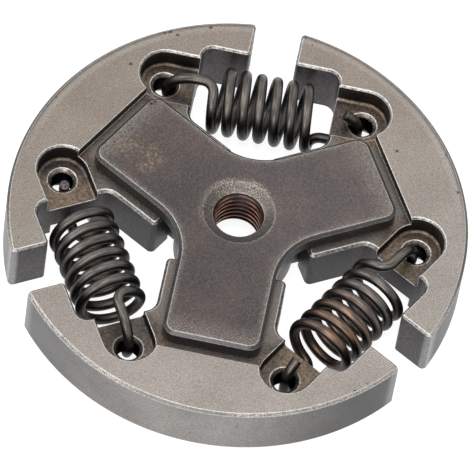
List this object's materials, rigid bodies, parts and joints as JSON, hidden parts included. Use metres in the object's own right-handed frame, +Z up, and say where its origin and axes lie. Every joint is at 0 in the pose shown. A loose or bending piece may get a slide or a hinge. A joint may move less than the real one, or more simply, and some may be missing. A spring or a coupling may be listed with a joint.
{
  "type": "chainsaw clutch",
  "caption": "Centrifugal clutch with a threaded armed spider, sliding sintered shoes and hooked tension springs.",
  "frame": {"origin": "on the axis of the threaded bore, in the plane of the shoes' flat underside", "axes": "+Z up the bore towards the raised plate, +X along the first arm"},
  "size_m": [0.065, 0.065, 0.0101],
  "materials": {
    "spider_steel": "dark grey-brown sintered steel",
    "shoe_steel": "light grey sintered steel",
    "spring_steel": "dark oil-tempered wire"
  },
  "bodies": {
    "spider": {"spider": "spider_steel", "spring_1": "spring_steel", "spring_2": "spring_steel", "spring_3": "spring_steel"},
    "shoe_1": {"shoe_1": "shoe_steel"},
    "shoe_2": {"shoe_2": "shoe_steel"},
    "shoe_3": {"shoe_3": "shoe_steel"}
  },
  "joints": [
    {"name": "shoe_1_slide", "type": "slide", "parent": "spider", "child": "shoe_1", "axis": [1, 0, 0], "range_m": [0, 0.0015], "stiffness_N_per_m": 18800, "springref_m": -0.0003, "deforming": ["spring_1", "spring_3"]},
    {"name": "shoe_2_slide", "type": "slide", "parent": "spider", "child": "shoe_2", "axis": [-0.5, 0.866, 0], "range_m": [0, 0.0015], "stiffness_N_per_m": 18800, "springref_m": -0.0003, "deforming": ["spring_1", "spring_2"]},
    {"name": "shoe_3_slide", "type": "slide", "parent": "spider", "child": "shoe_3", "axis": [-0.5, -0.866, 0], "range_m": [0, 0.0015], "stiffness_N_per_m": 18800, "springref_m": -0.0003, "deforming": ["spring_2", "spring_3"]}
  ]
}
